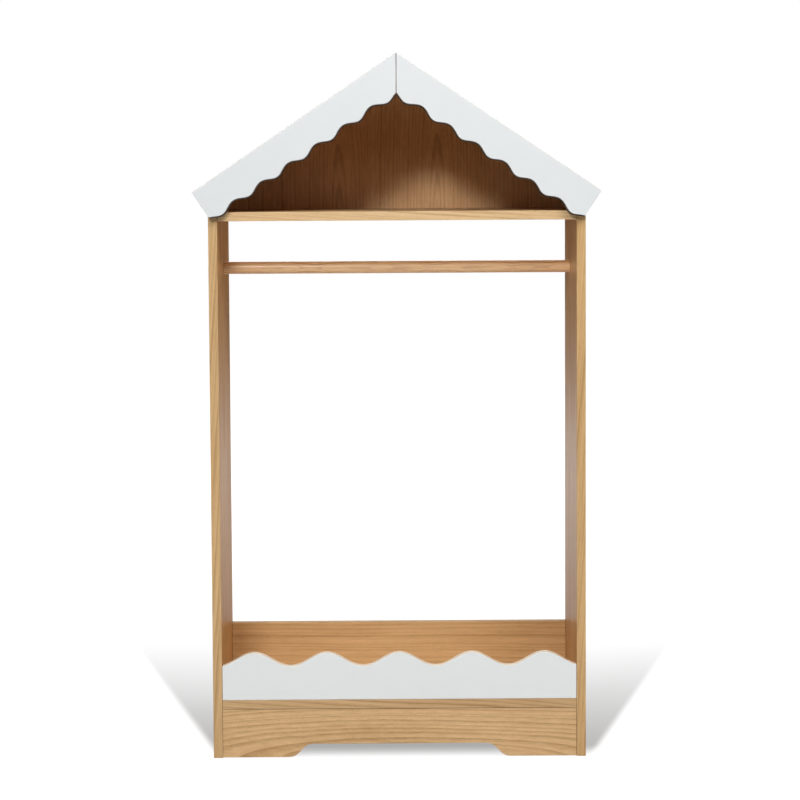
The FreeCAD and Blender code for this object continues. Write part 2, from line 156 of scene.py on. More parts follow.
class Graph:
    """Adds nodes to one tree and links them."""

    def __init__(self, tree):
        self.tree = tree

    def add(self, kind, settings=None, inputs=None, output=0):
        """A node with its settings, then its inputs, each a value, a link or a tuple of links.

        Gives one output, or several for a tuple of names.
        """
        node = self.tree.nodes.new(kind)
        for name, value in (settings or {}).items():
            setattr(node, name, value)
        for name, value in (inputs or {}).items():
            links = value if isinstance(value, tuple) else (value,)
            if not isinstance(links[0], Socket):
                node.inputs[name].default_value = value
                continue
            for link in links:
                self.tree.links.new(link.output, node.inputs[name])
        if isinstance(output, tuple):
            return [Socket(self, node.outputs[name]) for name in output]
        if not node.outputs:
            return node
        return Socket(self, node.outputs[output])

    def coordinates(self, kind):
        """Texture coordinates of a kind, such as Object or Normal."""
        return self.add("ShaderNodeTexCoord", {}, {}, kind)

    def split(self, vector):
        """The three values of a vector."""
        return self.add("ShaderNodeSeparateXYZ", {}, {"Vector": vector}, ("X", "Y", "Z"))

    def combine(self, x, y, z):
        """A vector from three values."""
        return self.add("ShaderNodeCombineXYZ", {}, {"X": x, "Y": y, "Z": z})

    def vector(self, operation, first, second):
        """A Vector Math node on two vectors."""
        return self.add("ShaderNodeVectorMath", {"operation": operation}, {0: first, 1: second})

    def mix(self, factor, first, second, mode="MIX"):
        """Two colours mixed."""
        settings = {"data_type": "RGBA", "blend_type": mode, "clamp_factor": True}
        return self.add("ShaderNodeMix", settings, {0: factor, 6: opaque(first), 7: opaque(second)}, 2)

    def noise(self, place, size, detail=2.0, roughness=0.5, output="Fac"):
        """Noise whose blotches have one size, or a size along each axis."""
        sizes = size if isinstance(size, tuple) else (size,) * 3
        spread = self.vector("MULTIPLY", place, [1 / s for s in sizes])
        values = {"Vector": spread, "Scale": 1.0, "Detail": detail, "Roughness": roughness}
        return self.add("ShaderNodeTexNoise", {}, values, output)

    def bump(self, height, depth):
        """A normal from a height between zero and one."""
        values = {"Strength": 1.0, "Distance": depth, "Height": height}
        return self.add("ShaderNodeBump", {}, values, "Normal")

    def surface(self, varying, fixed):
        """A Principled surface joined to the material's output."""
        shader = self.add("ShaderNodeBsdfPrincipled", {}, {**fixed, **varying}, "BSDF")
        self.add("ShaderNodeOutputMaterial", {}, {"Surface": shader})


def opaque(colour):
    """A plain colour with full alpha; a link stays as it is."""
    return colour if isinstance(colour, Socket) else (*colour[:3], 1.0)


def new_material(name):
    """An empty material and the graph that fills it."""
    material = bpy.data.materials.new(name)
    material.use_nodes = True
    material.node_tree.nodes.clear()
    return material, Graph(material.node_tree)


def object_place(graph, heart=(0, 0, 0), turn=(0, 0, 0)):
    """Object coordinates, seen from a frame that stands at a point and is turned by angles."""
    settings = {"vector_type": "TEXTURE"}
    values = {"Vector": graph.coordinates("Object"), "Location": heart, "Rotation": turn}
    return graph.add("ShaderNodeMapping", settings, values)


# Finishes

# Marks in wood in metres: their width twice, then their length along the grain
CLOUD = (0.05, 0.05, 0.35)
STREAK = (0.0042, 0.0042, 0.16)
FIBRE = (0.0014, 0.0014, 0.04)
PORE = (0.0008, 0.0008, 0.014)
CLOUD_DEPTH = 0.55              # how much darker or paler each kind of mark makes the wood
STREAK_DEPTH = 0.65
FIBRE_DEPTH = 0.45
PORE_RISE = (0.60, 0.72)        # values of the noise between which a pore begins
BEND_WIDTH = 0.11               # width of the waves that the rings wander in
SPELL = 3                       # rings in a spell of fast or slow growth
SPELL_SHIFT = 2.6               # rings that such spells shift the others by
LATE_RISE = (0.25, 0.9)         # shares of a ring's width between which its late wood darkens
LATE_FALL = (0.93, 1.0)         # and between which it ends
FAINTEST_RING = 0.35            # darkness of the faintest ring, as a share of the strongest
MEAN_RELIEF = 0.6               # height of plain wood, from which the marks go up and down
RING_DIP = 0.3                  # how much lower or higher each kind of mark lies
PORE_DIP = 0.5
FIBRE_LIFT = 0.4
WOOD_ROUGHNESS = 0.36
WOOD_RELIEF = 0.00006           # height of the wood's pores and fibres
JOINT_WIDTH = 0.0011            # half the shadow line of a joint between two boards
JOINT_CORE = 0.3                # share of that line which is fully dark
JOINT_DEPTH = 0.55              # share of the colour that a shadow line takes away
LACQUER_MOTTLE = 0.05           # size of the lacquer's duller patches
LACQUER_SPECK = 0.0018          # size of the marks that spraying leaves
LACQUER_RELIEF = 0.00002        # and their height
LACQUER_ROUGHNESS = 0.34
LACQUER_GLOSS = 0.45            # specular level
FACE_RISE = (0.55, 0.97)        # how far a lacquered surface faces front or back where its edge ends
UP_LIGHT_RISE = (-0.1, 0.3)           # how far up a cut edge faces where it takes its painted lit colour
DOWN_SHADE_RISE = (-0.1, 0.15)        # how far down it faces where it takes painted shade
LINE_SOFTNESS = 0.3             # share of the scallops' painted shade line that its soft edge takes
DULL_SHARE = 0.985              # brightness of a white's duller patches
METAL_PATCH = 0.004             # size of a metal's dull patches
METAL_DULL = 0.6                # brightness of a metal's darkest spots
METAL_RELIEF = 0.05             # height of its grain, as a share of the grain's size
PLASTIC_SKIN = 0.0004           # size of the grain of moulded plastic
PLASTIC_RELIEF = 0.00003        # and its height
PLASTIC_PATCH = 0.006           # size of its darker patches
PLASTIC_DULL = 0.75             # and their brightness
PLASTIC_ROUGHNESS = 0.42
PLASTIC_GLOSS = 0.4             # specular level
FLOOR_CLOUD = 0.8               # size of the floor's duller patches


@dataclass
class Timber:
    """How a wood looks: its early and late wood and how much its pores show."""

    pale: tuple
    deep: tuple
    pores: float


@dataclass
class Cut:
    """How a piece was cut from its tree, with lengths in metres and angles in degrees.

    The heart is seen from the piece's middle. The tree stands along Z before its turn, so 90 about Y lays
    it along X. The rings wander by the sway, in waves as long as the reach. The contrast is how dark the
    late wood is, and the shade is how dark the wood is between its rings. The tone is a share of the wood's
    colour, and the gloss is its finish's specular level.
    """

    heart: tuple
    turn: tuple
    ring: float
    sway: float
    contrast: float = 0.45
    tone: tuple = (1.0, 1.0, 1.0)
    reach: float = 0.42
    shade: float = 0.22
    gloss: float = 0.25

    def place(self, graph, middle):
        """Object coordinates seen from the tree."""
        return object_place(graph, middle + Vector(self.heart), [math.radians(t) for t in self.turn])


def wood_figure(graph, place, timber, cut):
    """Darkness and relief of sawn wood whose heart runs along Z of the place."""
    drift = graph.noise(place, (BEND_WIDTH, BEND_WIDTH, cut.reach), 2.0, 0.45, "Color")
    drift = graph.vector("SUBTRACT", drift, (0.5, 0.5, 0.5))
    bent = graph.vector("ADD", place, graph.vector("MULTIPLY", drift, (cut.sway, cut.sway, 0)))
    x, y, _ = graph.split(bent)
    radius = (x * x + y * y) ** 0.5
    spells = {"W": radius / (SPELL * cut.ring), "Scale": 1.0}
    pace = graph.add("ShaderNodeTexNoise", {"noise_dimensions": "1D"}, spells)
    age = radius / cut.ring + SPELL_SHIFT * pace
    late = age.fraction()
    line = late.rise(*LATE_RISE) * (1 - late.rise(*LATE_FALL))
    vigour = graph.add("ShaderNodeTexWhiteNoise", {"noise_dimensions": "1D"}, {"W": age.floor()}, "Value")
    rings = line * (FAINTEST_RING + (1 - FAINTEST_RING) * vigour)
    cloud = graph.noise(place, CLOUD, 2.0) - 0.5
    streak = graph.noise(place, STREAK, 3.0) - 0.5
    fibre = graph.noise(place, FIBRE, 3.0, 0.6) - 0.5
    pore = graph.noise(place, PORE, 1.0).rise(*PORE_RISE)
    marks = CLOUD_DEPTH * cloud + STREAK_DEPTH * streak + FIBRE_DEPTH * fibre + timber.pores * pore
    dark = cut.contrast * rings + marks + cut.shade
    relief = MEAN_RELIEF - RING_DIP * rings - PORE_DIP * pore + FIBRE_LIFT * fibre
    return dark, relief


def joint_lines(graph, joints):
    """One on the shadow lines of joints, zero elsewhere. A joint is an axis and a place along it."""
    sides = graph.split(graph.coordinates("Object"))
    total = None
    for axis, spot in joints:
        line = 1 - abs(sides[axis] - spot).rise(JOINT_CORE * JOINT_WIDTH, JOINT_WIDTH)
        total = line if total is None else total.at_least(line)
    return total


def wood_material(name, timber, cut, middle, joints=(), leaf=None):
    """A satin wood finish. A leaf is a second cut, for the part of the board below a place along X."""
    material, graph = new_material(name)
    place = cut.place(graph, middle)
    tone = (*cut.tone, 1.0)
    if leaf:
        second, border = leaf
        x, _, _ = graph.split(graph.coordinates("Object"))
        beyond = 1 - x.above(border)
        other = second.place(graph, middle)
        place = graph.add("ShaderNodeMix", {"data_type": "VECTOR"}, {0: beyond, 4: place, 5: other}, 1)
        tone = graph.mix(beyond, cut.tone, second.tone)
    dark, relief = wood_figure(graph, place, timber, cut)
    shown = graph.mix(1.0, graph.mix(dark, timber.pale, timber.deep), tone, "MULTIPLY")
    if joints:
        shown = graph.mix(JOINT_DEPTH * joint_lines(graph, joints), shown, (0, 0, 0))
    roughness = WOOD_ROUGHNESS + 0.10 * dark - 0.06 * relief
    varying = {"Base Color": shown, "Roughness": roughness, "Normal": graph.bump(relief, WOOD_RELIEF)}
    graph.surface(varying, {"Specular IOR Level": cut.gloss})
    return material


def scallop_shade_line(graph, place, sizes, ridge):
    """One on the narrow painted shade line along a fascia's scalloped edge, zero elsewhere."""
    x, _, z = graph.split(place)
    sine, cosine = math.sin(sizes.roof_pitch), math.cos(sizes.roof_pitch)
    along = cosine * abs(x) + sine * (ridge - z)
    below = cosine * (ridge - z) - sine * abs(x)
    turns = FULL_TURN / sizes.scallop_pitch * (along - sizes.scallop_start)
    lean = FULL_TURN * sizes.scallop_swing / sizes.scallop_pitch * turns.cosine()
    dip = sizes.ridge_dip * (1 - along.rise(0.0, sizes.dip_reach))
    rim = (sizes.fascia_drop + sizes.scallop_swing * turns.sine() + dip - below) / (1 + lean * lean) ** 0.5
    soft = LINE_SOFTNESS * sizes.scallop_shade_line
    return 1 - rim.rise(sizes.scallop_shade_line - soft, sizes.scallop_shade_line + soft)


def lacquer_material(name, white, finishes, line=None):
    """Sprayed satin white on the faces.

    A cut edge takes a paler lit colour where it faces up, painted light, and painted shade where it faces
    down and in. A line gives where painted shade lies along an edge of the front, from the graph and the
    place.
    """
    material, graph = new_material(name)
    place = object_place(graph)
    across, _, _ = graph.split(place)
    aside, forward, up = graph.split(graph.coordinates("Normal"))
    mottle = graph.noise(place, LACQUER_MOTTLE, 3.0)
    speck = graph.noise(place, LACQUER_SPECK, 2.0)
    shown = graph.mix(0.5 * mottle, white, [DULL_SHARE * c for c in white])
    edge = 1 - abs(forward).rise(*FACE_RISE)
    inwards = (0 - across * aside).above(0)
    # Painted light: cut edges that face up take a paler lit colour
    shown = graph.mix(edge * up.rise(*UP_LIGHT_RISE), shown, finishes.lacquer_lit_edge)
    # Painted shade: cut edges that face down and in, such as the ridge seam, go dark
    dark = edge * inwards * (0 - up).rise(*DOWN_SHADE_RISE)
    # Painted shade: a dark line along the scallops on the front
    if line:
        dark = dark.at_least((0 - forward).above(0) * line(graph, place))
    shown = graph.mix(dark, shown, finishes.lacquer_painted_shade)
    roughness = LACQUER_ROUGHNESS + 0.10 * mottle + 0.05 * speck
    varying = {"Base Color": shown, "Roughness": roughness, "Normal": graph.bump(speck, LACQUER_RELIEF)}
    graph.surface(varying, {"Specular IOR Level": LACQUER_GLOSS})
    return material


def metal_material(name, colour, roughness, grain):
    """Plated or cast metal with a fine grain and dull patches."""
    material, graph = new_material(name)
    place = object_place(graph)
    patch = graph.noise(place, METAL_PATCH, 3.0)
    pit = graph.noise(place, grain, 2.0)
    tint = graph.mix(0.5 * patch + 0.3 * pit, colour, [METAL_DULL * c for c in colour])
    varying = {
        "Base Color": tint,
        "Roughness": roughness + 0.18 * patch,
        "Normal": graph.bump(pit, METAL_RELIEF * grain),
    }
    graph.surface(varying, {"Metallic": 1.0})
    return material


def plastic_material(name, colour):
    """Moulded plastic with a fine spark-eroded skin."""
    material, graph = new_material(name)
    place = object_place(graph)
    skin = graph.noise(place, PLASTIC_SKIN, 2.0)
    patch = graph.noise(place, PLASTIC_PATCH, 2.0)
    tint = graph.mix(0.35 * patch + 0.2 * skin, colour, [PLASTIC_DULL * c for c in colour])
    roughness = PLASTIC_ROUGHNESS + 0.15 * skin
    varying = {"Base Color": tint, "Roughness": roughness, "Normal": graph.bump(skin, PLASTIC_RELIEF)}
    graph.surface(varying, {"Specular IOR Level": PLASTIC_GLOSS})
    return material


def floor_material(finishes, stage):
    """Pale seamless studio floor. It glows to the eye, with a painted shadow beside and behind the wardrobe.
    """
    material, graph = new_material("studio_floor")
    place = object_place(graph)
    cloud = graph.noise(place, FLOOR_CLOUD, 2.0)
    pale = graph.mix(cloud, finishes.floor_white, [DULL_SHARE * c for c in finishes.floor_white])
    thrown = graph.add("ShaderNodeBsdfDiffuse", {}, {"Color": pale})
    shaded = graph.add("ShaderNodeBsdfDiffuse", {}, {"Color": opaque(finishes.floor_shade)})
    x, y, _ = graph.split(place)
    # Painted shadow: the glow drops beside and behind the wardrobe, where a shadow would fall
    aside = abs(x - stage.shade_middle) - stage.shade_width - stage.shade_spread * y
    across = 1 - aside.rise(-stage.shade_edge, stage.shade_edge)
    along = y.rise(stage.shade_front, stage.shade_full) * (1 - y.rise(stage.shade_fade, stage.shade_back))
    painted_shadow = across * along
    glow = stage.far_glow + (stage.near_glow - stage.far_glow) * painted_shadow
    lit = graph.add("ShaderNodeEmission", {}, {"Strength": glow})
    shown = graph.add("ShaderNodeAddShader", {}, {0: shaded, 1: lit})
    seen = graph.add("ShaderNodeLightPath", {}, {}, "Is Camera Ray")
    both = graph.add("ShaderNodeMixShader", {}, {0: seen, 1: thrown, 2: shown})
    graph.add("ShaderNodeOutputMaterial", {}, {"Surface": both})
    return material


# Sizes and finishes that a user would change

def length(name, description, default):
    """A length property in metres."""
    return bpy.props.FloatProperty(
        name=name, description=description, default=default, unit="LENGTH", precision=5
    )


def angle(name, description, default):
    """An angle property, with its default in degrees."""
    turn = math.radians(default)
    return bpy.props.FloatProperty(
        name=name, description=description, default=turn, subtype="ANGLE", precision=4
    )


def number(name, description, default):
    """A plain number that is never negative."""
    return bpy.props.FloatProperty(
        name=name, description=description, default=default, min=0.0, precision=4
    )


def paint(name, description, default):
    """A colour property in linear light."""
    return bpy.props.FloatVectorProperty(
        name=name, description=description, default=default, subtype="COLOR", size=3, min=0.0, max=1.0
    )


class WardrobeSizes(bpy.types.PropertyGroup):
    """Sizes of the shaped boards and of the fittings."""

    edge_rounding: length("Edge rounding", "Radius of a lacquered board's edges", 0.0015)
    wave_pitch: length("Wave pitch", "From crest to crest of the guard", 0.145)
    wave_swing: length("Wave swing", "Height of the guard's wave each way from its middle", 0.0134)
    roof_pitch: angle("Roof pitch", "Slope of the roof", 34.0)
    fascia_drop: length("Fascia drop", "Mean depth of a fascia below its top edge", 0.0664)
    scallop_pitch: length("Scallop pitch", "From scallop to scallop along the slope", 0.065)
    scallop_swing: length("Scallop swing", "Depth of a scallop each way from the mean", 0.0053)
    scallop_start: length("Scallop start", "From the ridge to the first steep part", 0.0526)
    ridge_dip: length("Ridge dip", "How much lower the scallops would hang at the ridge", 0.008)
    dip_reach: length("Dip reach", "How far from the ridge the scallops hang lower", 0.105)
    # Painted shade: width of the dark line along the scallops
    scallop_shade_line: length("Scallop shade line", "Width of the dark line along the scallops", 0.0029)
    ridge_seam: length("Ridge seam", "Gap between the two fascias at the ridge", 0.0008)
    bore_clearance: length("Bore clearance", "All round a fitting in its bore", 0.0001)
    dowel_chamfer: length("Dowel chamfer", "At both ends of a dowel", 0.001)
    flute_depth: length("Flute depth", "Depth of the glue flutes along a dowel", 0.00035)
    flutes: bpy.props.IntProperty(name="Flutes", description="Glue flutes round a dowel", default=14, min=3)


class WardrobeFinishes(bpy.types.PropertyGroup):
    """Colours of the finishes."""

    laminate_pale: paint("Laminate, pale", "Early wood of the printed laminate", (0.72, 0.485, 0.25))
    laminate_deep: paint("Laminate, deep", "Late wood of the printed laminate", (0.38, 0.205, 0.075))
    # Painted light: the rail's pale wood is raised to full red to stand in for light it lacks under the
    # shelf
    rail_pale: paint("Rail, pale", "Early wood of the rail", (1.0, 0.65, 0.35))
    rail_deep: paint("Rail, deep", "Late wood of the rail", (0.54, 0.26, 0.10))
    dowel_pale: paint("Dowel, pale", "Early wood of the dowels", (0.78, 0.61, 0.41))
    dowel_deep: paint("Dowel, deep", "Late wood of the dowels", (0.52, 0.36, 0.21))
    fascia_white: paint("Fascia lacquer", "White lacquer of the fascias", (0.770, 0.797, 0.799))
    # Painted light: the guard's white is brighter than the fascias' to stand in for light it lacks lower
    # down
    guard_white: paint("Guard lacquer", "White lacquer of the guard", (0.845, 0.876, 0.871))
    # Painted light: the lit colour of cut edges that face up
    lacquer_lit_edge: paint("Lacquer, lit edge", "Cut edge that faces up", (0.88, 0.74, 0.56))
    # Painted shade: dark colour of cut edges that face down and in, the ridge seam and the scallop line
    lacquer_painted_shade: paint("Lacquer, painted shade", "Scalloped edge and ridge seam", (0.040, 0.021, 0.014))
    cast_zinc: paint("Cast zinc", "Cams", (0.42, 0.42, 0.43))
    zinc_plate: paint("Zinc plate", "Screws, bolts and brackets", (0.62, 0.63, 0.66))
    cap_tan: paint("Cap", "Plastic caps over the cams", (0.50, 0.33, 0.17))
    floor_white: paint("Floor", "Studio floor", (0.72, 0.72, 0.72))
    floor_shade: paint("Floor, shade", "How much shade the studio floor shows", (0.15, 0.15, 0.15))


class WardrobeStage(bpy.types.PropertyGroup):
    """Camera and light of the studio."""

    camera_place: bpy.props.FloatVectorProperty(
        name="Camera", description="Place of the camera", default=(-0.0057, -5.0568, 1.1688),
        subtype="XYZ", unit="LENGTH",
    )
    camera_down: angle("Camera down", "How far the camera looks down", 4.166)
    camera_right: angle("Camera right", "How far the camera looks to the right", 0.122)
    camera_roll: angle("Camera roll", "How far the camera leans to the right", 0.320)
    focal_pixels: number("Focal length", "In pixels of the picture", 2484.0)
    shift_down: number("Shift", "How far the frame lies below the lens axis, in widths", 0.06)
    sky_low: number("Sky, low", "Light from the horizon", 0.006)
    sky_high: number("Sky, high", "Light from overhead", 0.18)
    top_power: number("Top light", "Power of the high softbox in watts", 48.0)
    key_power: number("Key light", "Power of the far softbox at the left in watts", 132.0)
    fill_power: number("Fill light", "Power of the low softbox at the right in watts", 4.3)
    low_power: number("Low light", "Power of the low softbox at the left in watts", 3.9)
    rear_power: number("Rear light", "Power of the panel over the floor behind in watts", 235.0)
    left_power: number("Left light", "Power of the tall softbox at the left in watts", 20.0)
    right_power: number("Right light", "Power of the tall softbox at the right in watts", 20.0)
    floor_front: length("Floor, front", "How far the floor reaches to the front", 2.6)
    floor_back: length("Floor, back", "How far the floor reaches to the back", 16.0)
    floor_side: length("Floor, side", "How far the floor reaches to each side", 6.0)
    # Painted shadow in the floor's glow: where it lies, how wide it is and where it fades
    shade_middle: length("Shade, middle", "Where the middle of the floor's shade lies", 0.012)
    shade_width: length("Shade, width", "Half the width of the floor's shade at the wardrobe's middle", 0.41)
    shade_spread: number("Shade, spread", "How much each side of the shade widens towards the back", 0.246)
    shade_edge: length("Shade, edge", "Half the width of the shade's soft edge", 0.014)
    shade_front: length("Shade, front", "Where the floor's shade begins", -0.19)
    shade_full: length("Shade, full", "Where the floor's shade is fullest", -0.055)
    shade_fade: length("Shade, fade", "Where the floor's shade starts to fade", -0.5)
    shade_back: length("Shade, back", "Where the floor's shade ends", 1.6)
    near_glow: number("Floor, near glow", "Light that the floor gives to the eye in the shade", 0.33)
    far_glow: number("Floor, far glow", "Light that the floor gives to the eye further off", 1.0)


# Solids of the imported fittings

class Fitting:
    """One solid of a node: its middle, its axis towards the wider end, its length and its width."""

    def __init__(self, corners):
        spread = corners - corners.mean(0)
        axis = np.linalg.svd(spread, full_matrices=False)[2][0]
        if abs(axis).max() > STRAIGHT:
            axis = np.round(axis)
        first = np.cross(axis, np.eye(3)[np.argmin(abs(axis))])
        first /= np.linalg.norm(first)
        basis = np.array([first, np.cross(axis, first), axis])
        local = corners @ basis.T
        low, high = local.min(0), local.max(0)
        middle = (low + high) / 2
        reach = np.hypot(*(local - middle)[:, :2].T)
        self.length = high[2] - low[2]
        near = END_SHARE * self.length
        top = reach[local[:, 2] > high[2] - near].max()
        foot = reach[local[:, 2] < low[2] + near].max()
        self.axis = axis if top >= foot else -axis
        self.middle = middle @ basis
        self.head = 2 * max(top, foot)
        self.shank = 2 * min(top, foot)


def fittings(node):
    """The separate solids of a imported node."""
    shell = bmesh.new()
    shell.from_mesh(frame["nodes"][node].data)
    bmesh.ops.remove_doubles(shell, verts=shell.verts, dist=WELD)
    seen = set()
    found = []
    for start in shell.verts:
        if start in seen:
            continue
        seen.add(start)
        island = [start]
        for corner in island:
            for edge in corner.link_edges:
                other = edge.other_vert(corner)
                if other not in seen:
                    seen.add(other)
                    island.append(other)
        found.append(Fitting(np.array([corner.co for corner in island], float)))
    shell.free()
    return found


# Geometry trees

def geometry_tree(name, inputs):
    """A geometry tree with named inputs, and the sockets that bring them in."""
    tree = bpy.data.node_groups.new(name, "GeometryNodeTree")
    tree.interface.new_socket("Geometry", in_out="INPUT", socket_type="NodeSocketGeometry")
    for label, kind in inputs.items():
        tree.interface.new_socket(label, in_out="INPUT", socket_type="NodeSocket" + kind)
    tree.interface.new_socket("Geometry", in_out="OUTPUT", socket_type="NodeSocketGeometry")
    graph = Graph(tree)
    names = ("Geometry", *inputs)
    return graph, dict(zip(names, graph.add("NodeGroupInput", {}, {}, names)))


def close_tree(graph, geometry, material):
    """Instances made real, a finish, and the tree's output."""
    real = graph.add("GeometryNodeRealizeInstances", {}, {"Geometry": geometry})
    finished = graph.add("GeometryNodeSetMaterial", {}, {"Geometry": real, "Material": material})
    graph.add("NodeGroupOutput", {}, {"Geometry": finished})


def sheet_grid(graph, steps):
    """A strip two corners high, with its share along and its share up as values."""
    values = {"Size X": 1.0, "Size Y": 1.0, "Vertices X": steps, "Vertices Y": 2}
    grid = graph.add("GeometryNodeMeshGrid", {}, values, "Mesh")
    x, y, _ = graph.split(graph.add("GeometryNodeInputPosition"))
    return grid, x + 0.5, y + 0.5


def thickened(graph, grid, place, thickness):
    """A strip set in place at the rear and drawn forward into a closed board."""
    rear = graph.add("GeometryNodeSetPosition", {}, {"Geometry": grid, "Position": place})
    forward = graph.combine(0.0, 0.0 - thickness, 0.0)
    values = {"Mesh": rear, "Offset": forward, "Offset Scale": 1.0, "Individual": False}
    drawn = graph.add("GeometryNodeExtrudeMesh", {"mode": "FACES"}, values, "Mesh")
    back = graph.add("GeometryNodeFlipFaces", {}, {"Mesh": rear})
    whole = graph.add("GeometryNodeJoinGeometry", {}, {0: (back, drawn)})
    welded = graph.add("GeometryNodeMergeByDistance", {}, {"Geometry": whole, "Distance": WELD})
    return graph.add("GeometryNodeSetShadeSmooth", {}, {0: welded, 2: True})


def creased(graph, mesh):
    """Smooth shading, with a crease where faces meet at a sharp angle."""
    smooth = graph.add("GeometryNodeSetShadeSmooth", {}, {0: mesh, 2: True})
    bend = graph.add("GeometryNodeInputMeshEdgeAngle", {}, {}, "Unsigned Angle")
    creases = {0: smooth, 1: bend.above(SHARP), 2: False}
    return graph.add("GeometryNodeSetShadeSmooth", {"domain": "EDGE"}, creases)


def point_vector(graph, name):
    """A vector that each point carries under a name."""
    settings = {"data_type": "FLOAT_VECTOR"}
    return graph.add("GeometryNodeInputNamedAttribute", settings, {"Name": name}, "Attribute")


def cut_away(graph, mesh, cutters):
    """What is left of a mesh outside the cutters."""
    settings = {"operation": "DIFFERENCE", "solver": "EXACT"}
    return graph.add("GeometryNodeMeshBoolean", settings, {"Mesh 1": mesh, "Mesh 2": cutters}, "Mesh")


def upright_line(graph, start, end):
    """A straight curve along Z."""
    ends = {"Start": graph.combine(0.0, 0.0, start), "End": graph.combine(0.0, 0.0, end)}
    return graph.add("GeometryNodeCurvePrimitiveLine", {}, ends)


def stepped(graph, curve, step):
    """A curve with a point at every step."""
    return graph.add("GeometryNodeResampleCurve", {"mode": "LENGTH"}, {"Curve": curve, "Length": step})


def star(graph, points, inner, outer):
    """A star-shaped profile."""
    values = {"Points": points, "Inner Radius": inner, "Outer Radius": outer}
    return graph.add("GeometryNodeCurveStar", {}, values, "Curve")


def swept(graph, curve, profile, scale=1.0):
    """A closed solid that a profile sweeps along a curve."""
    values = {"Curve": curve, "Profile Curve": profile, "Scale": scale, "Fill Caps": True}
    return graph.add("GeometryNodeCurveToMesh", {}, values)


def wave_tree():
    """A board with a level foot and a wavy top."""
    kinds = dict.fromkeys(("Reach", "Foot", "Middle", "Swing", "Pitch", "Rear", "Thickness"), "Float")
    graph, given = geometry_tree("wave_board", {**kinds, "Steps": "Int", "Material": "Material"})
    grid, share, up = sheet_grid(graph, given["Steps"])
    x = (2 * share - 1) * given["Reach"]
    crest = given["Middle"] + given["Swing"] * (FULL_TURN * x / given["Pitch"]).cosine()
    z = given["Foot"] + up * (crest - given["Foot"])
    board = thickened(graph, grid, graph.combine(x, given["Rear"], z), given["Thickness"])
    close_tree(graph, board, given["Material"])
    return graph.tree


def scallop_tree():
    """A sloping board with a scalloped lower edge, cut plumb at the ridge."""
    board_sizes = ("Side", "Ridge", "Sine", "Cosine", "Slope", "Top Start", "Low Start", "Rear", "Thickness")
    edge_sizes = ("Drop", "Swing", "Pitch", "Start", "Dip", "Reach")
    kinds = dict.fromkeys((*board_sizes, *edge_sizes), "Float")
    graph, given = geometry_tree("scallop_board", {**kinds, "Steps": "Int", "Material": "Material"})
    grid, right, up = sheet_grid(graph, given["Steps"])
    share = 0.5 + given["Side"] * (right - 0.5)
    low = given["Low Start"] + share * (given["Slope"] - given["Low Start"])
    top = given["Top Start"] + share * (given["Slope"] - given["Top Start"])
    turns = FULL_TURN * (low - given["Start"]) / given["Pitch"]
    dip = given["Dip"] * (1 - low.rise(0.0, given["Reach"]))
    below = (given["Drop"] + given["Swing"] * turns.sine() + dip) * (1 - up)
    along = low + up * (top - low)
    x = given["Side"] * (along * given["Cosine"] - below * given["Sine"])
    z = given["Ridge"] - along * given["Sine"] - below * given["Cosine"]
    board = thickened(graph, grid, graph.combine(x, given["Rear"], z), given["Thickness"])
    close_tree(graph, board, given["Material"])
    return graph.tree


def set_along_axis(graph, points, shape, scale=(1.0, 1.0, 1.0)):
    """A shape on every point, with its Z along the point's own axis."""
    settings = {"axis": "Z"}
    turn = graph.add("FunctionNodeAlignRotationToVector", settings, {"Vector": point_vector(graph, "axis")})
    values = {"Points": points, "Instance": shape, "Rotation": turn, "Scale": scale}
    return graph.add("GeometryNodeInstanceOnPoints", {}, values)


def drill_tree():
    """Round bores in a board, at the points of another object."""
    kinds = {"Bores": "Object", "Clearance": "Float", "Material": "Material"}
    graph, given = geometry_tree("drill", kinds)
    points = graph.add("GeometryNodeObjectInfo", {}, {"Object": given["Bores"]}, "Geometry")
    loose = 2 * given["Clearance"]
    room = graph.vector("ADD", point_vector(graph, "size"), graph.combine(loose, loose, loose))
    values = {"Vertices": BORE_SIDES, "Radius": 0.5, "Depth": 1.0}
    cutter = graph.add("GeometryNodeMeshCylinder", {}, values, "Mesh")
    cutters = set_along_axis(graph, points, cutter, room)
    cutters = graph.add("GeometryNodeRealizeInstances", {}, {"Geometry": cutters})
    bored = cut_away(graph, given["Geometry"], cutters)
    close_tree(graph, creased(graph, bored), given["Material"])
    return graph.tree


def dowel_tree():
    """Fluted dowels with chamfered ends, one on every point."""
    kinds = dict.fromkeys(("Diameter", "Length", "Chamfer", "Flute Depth"), "Float")
    graph, given = geometry_tree("fluted_dowels", {**kinds, "Flutes": "Int", "Material": "Material"})
    radius = given["Diameter"] / 2
    profile = star(graph, given["Flutes"], radius - given["Flute Depth"], radius)
    half = given["Length"] / 2
    line = stepped(graph, upright_line(graph, 0.0 - half, half), given["Chamfer"])
    _, _, z = graph.split(graph.add("GeometryNodeInputPosition"))
    past = (abs(z) - (half - given["Chamfer"])).at_least(0.0)
    dowel = creased(graph, swept(graph, line, profile, 1 - past / radius))
    close_tree(graph, set_along_axis(graph, given["Geometry"], dowel), given["Material"])
    return graph.tree


